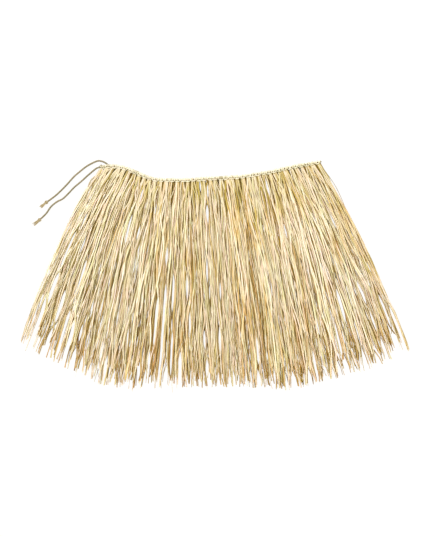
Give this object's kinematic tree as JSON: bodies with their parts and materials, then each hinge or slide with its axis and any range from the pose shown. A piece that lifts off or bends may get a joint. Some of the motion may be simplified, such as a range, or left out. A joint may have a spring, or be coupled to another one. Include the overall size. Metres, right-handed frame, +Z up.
{
  "type": "grass skirt",
  "caption": "Grass skirt: raffia hanks hitched side by side on a waist cord, folded in half and laid flat, with both tie ends at one side.",
  "frame": {"origin": "centre of the fringe's footprint, on the surface that the skirt lies on; the ties reach past it", "axes": "+X along the waist from the tie ends to the fold, +Y from the hem to the waist, +Z up from the surface"},
  "size_m": [0.7704, 0.4573, 0.0112],
  "materials": {
    "raffia": "dry natural raffia leaf, cream to tan, faintly glossy",
    "cord": "matte twisted raffia cord, greyish tan"
  },
  "bodies": {
    "root": {"front_grass": "raffia", "back_grass": "raffia", "waist_cord": "cord", "front_tie": "cord", "back_tie": "cord", "front_tie_end": "cord", "back_tie_end": "cord"}
  },
  "joints": []
}
